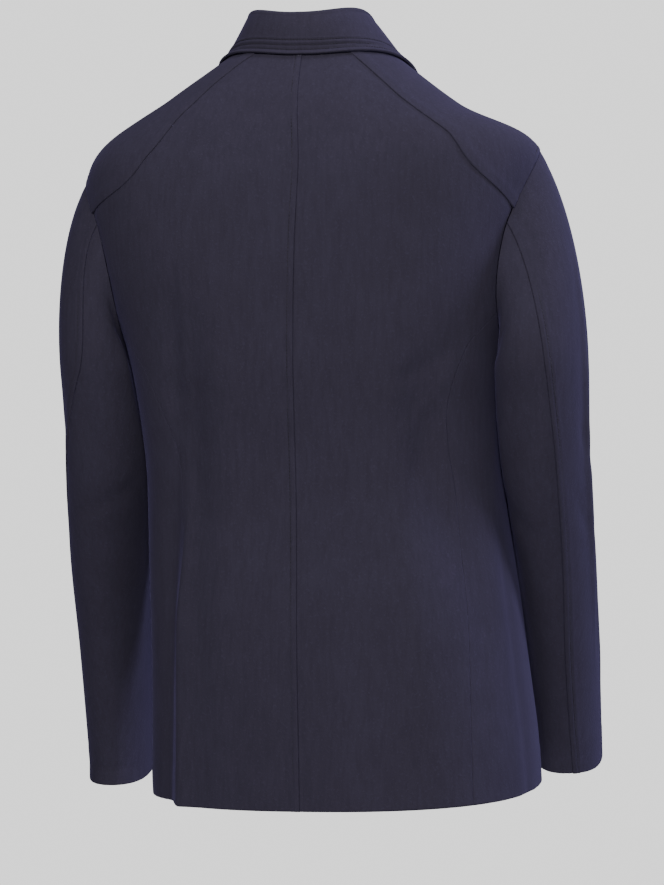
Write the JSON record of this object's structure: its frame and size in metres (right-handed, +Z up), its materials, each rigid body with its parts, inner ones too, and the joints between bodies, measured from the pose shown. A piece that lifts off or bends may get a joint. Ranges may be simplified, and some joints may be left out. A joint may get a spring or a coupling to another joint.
{
  "type": "wool jacket",
  "caption": "Hip-length button-front wool jacket in its worn shape, hollow, with saddle yokes, two-piece sleeves and a turned-down collar.",
  "frame": {"origin": "middle of the neck opening, level with the top of the back neck seam, where the wearer's neck and shoulders hold the jacket", "axes": "+Z up the wearer, +X towards the wearer's left, -Y out of the jacket's front"},
  "size_m": [0.5599, 0.351, 0.8059],
  "materials": {
    "wool": "dark navy wool with a short soft nap",
    "buttons": "dark horn, satin"
  },
  "bodies": {
    "root": {"back_left": "wool", "back_right": "wool", "yoke_left": "wool", "yoke_right": "wool", "side_left": "wool", "side_right": "wool", "front_left": "wool", "front_right": "wool", "sleeve_top_left": "wool", "sleeve_under_left": "wool", "sleeve_top_right": "wool", "sleeve_under_right": "wool", "collar_stand": "wool", "collar_fall": "wool", "button_1": "buttons", "button_2": "buttons", "button_3": "buttons", "button_4": "buttons", "button_5": "buttons"}
  },
  "joints": []
}
